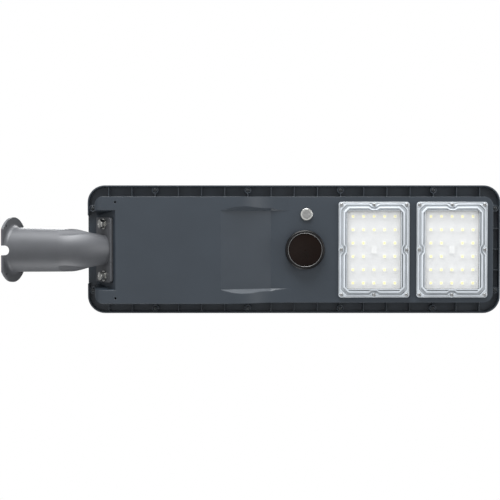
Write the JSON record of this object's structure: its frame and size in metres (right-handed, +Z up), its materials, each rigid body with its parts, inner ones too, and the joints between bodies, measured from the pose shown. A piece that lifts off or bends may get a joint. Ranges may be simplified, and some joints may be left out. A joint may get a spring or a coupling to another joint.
{
  "type": "solar street lamp",
  "caption": "Flat all-in-one solar street lamp on a short cast arm with a wall flange and a sleeve for a pole end; panel on top, LED windows, motion sensor and push button below.",
  "frame": {"origin": "centre of the arm's wall flange and of its four holes, on the face that meets the wall", "axes": "+X along the sleeve, away from the wall; +Y across the lamp; +Z up"},
  "size_m": [0.7648, 0.209, 0.2872],
  "materials": {
    "arm_paint": "satin",
    "stainless": "satin",
    "black_rubber": "matte",
    "zinc_steel": "satin",
    "shell_paint": "matte",
    "frame_plastic": "matte",
    "backsheet": "matte",
    "silicon_cell": "gloss",
    "panel_glass": "gloss",
    "cell_sleeve": "gloss",
    "black_plastic": "matte",
    "nickel": "gloss",
    "green_board": "satin",
    "capacitor_sleeve": "gloss",
    "ferrite": "satin",
    "bare_aluminium": "satin",
    "green_plastic": "matte",
    "gloss_black": "gloss",
    "spring_steel": "satin",
    "brass_pins": "satin",
    "white_board": "matte",
    "led_yellow": "gloss",
    "white_plastic": "matte",
    "clear_silicone": "satin",
    "clear_plastic": "gloss"
  },
  "bodies": {
    "lamp": {"arm_backing_plate": "zinc_steel", "arm_bolts": "stainless", "arm_flat_washers": "stainless", "arm_gasket": "black_rubber", "arm_nuts": "stainless", "arm_spring_washers": "stainless", "battery_cells": "cell_sleeve", "battery_guard_board": "green_board", "battery_straps": "zinc_steel", "bracket_arm": "arm_paint", "capacitors": "capacitor_sleeve", "cell_holder_inner": "black_plastic", "cell_holder_outer": "black_plastic", "choke_coil": "ferrite", "clamp_screws": "stainless", "controller_board": "green_board", "controller_chips": "black_plastic", "controller_screws": "zinc_steel", "frame_gasket": "black_rubber", "frame_screws": "stainless", "heat_sink": "bare_aluminium", "inner_led_board": "white_board", "inner_led_chips": "led_yellow", "inner_led_plug": "white_plastic", "inner_lens_cover": "clear_plastic", "inner_lens_gasket": "clear_silicone", "inner_lens_screws": "stainless", "lower_housing": "shell_paint", "nickel_strips": "nickel", "outer_led_board": "white_board", "outer_led_chips": "led_yellow", "outer_led_plug": "white_plastic", "outer_lens_cover": "clear_plastic", "outer_lens_gasket": "clear_silicone", "outer_lens_screws": "stainless", "panel_backsheet": "backsheet", "panel_frame": "frame_plastic", "panel_glass": "panel_glass", "panel_junction_box": "frame_plastic", "sensor_bezel": "gloss_black", "sensor_board": "green_board", "sensor_detector": "nickel", "sensor_gasket": "black_rubber", "sensor_lens": "gloss_black", "sensor_nut": "black_plastic", "solar_cells": "silicon_cell", "strap_screws": "zinc_steel", "switch_body": "stainless", "switch_nut": "nickel", "switch_seal": "black_rubber", "switch_spring": "spring_steel", "switch_terminals": "brass_pins", "terminal_block": "green_plastic"},
    "button": {"switch_button": "stainless"}
  },
  "joints": [
    {"name": "button_press", "type": "slide", "parent": "lamp", "child": "button", "axis": [-0.2588, 0, 0.9659], "range_m": [0, 0.0015], "stiffness_N_per_m": 900, "springref_m": -0.001, "deforming": ["switch_spring"]}
  ]
}
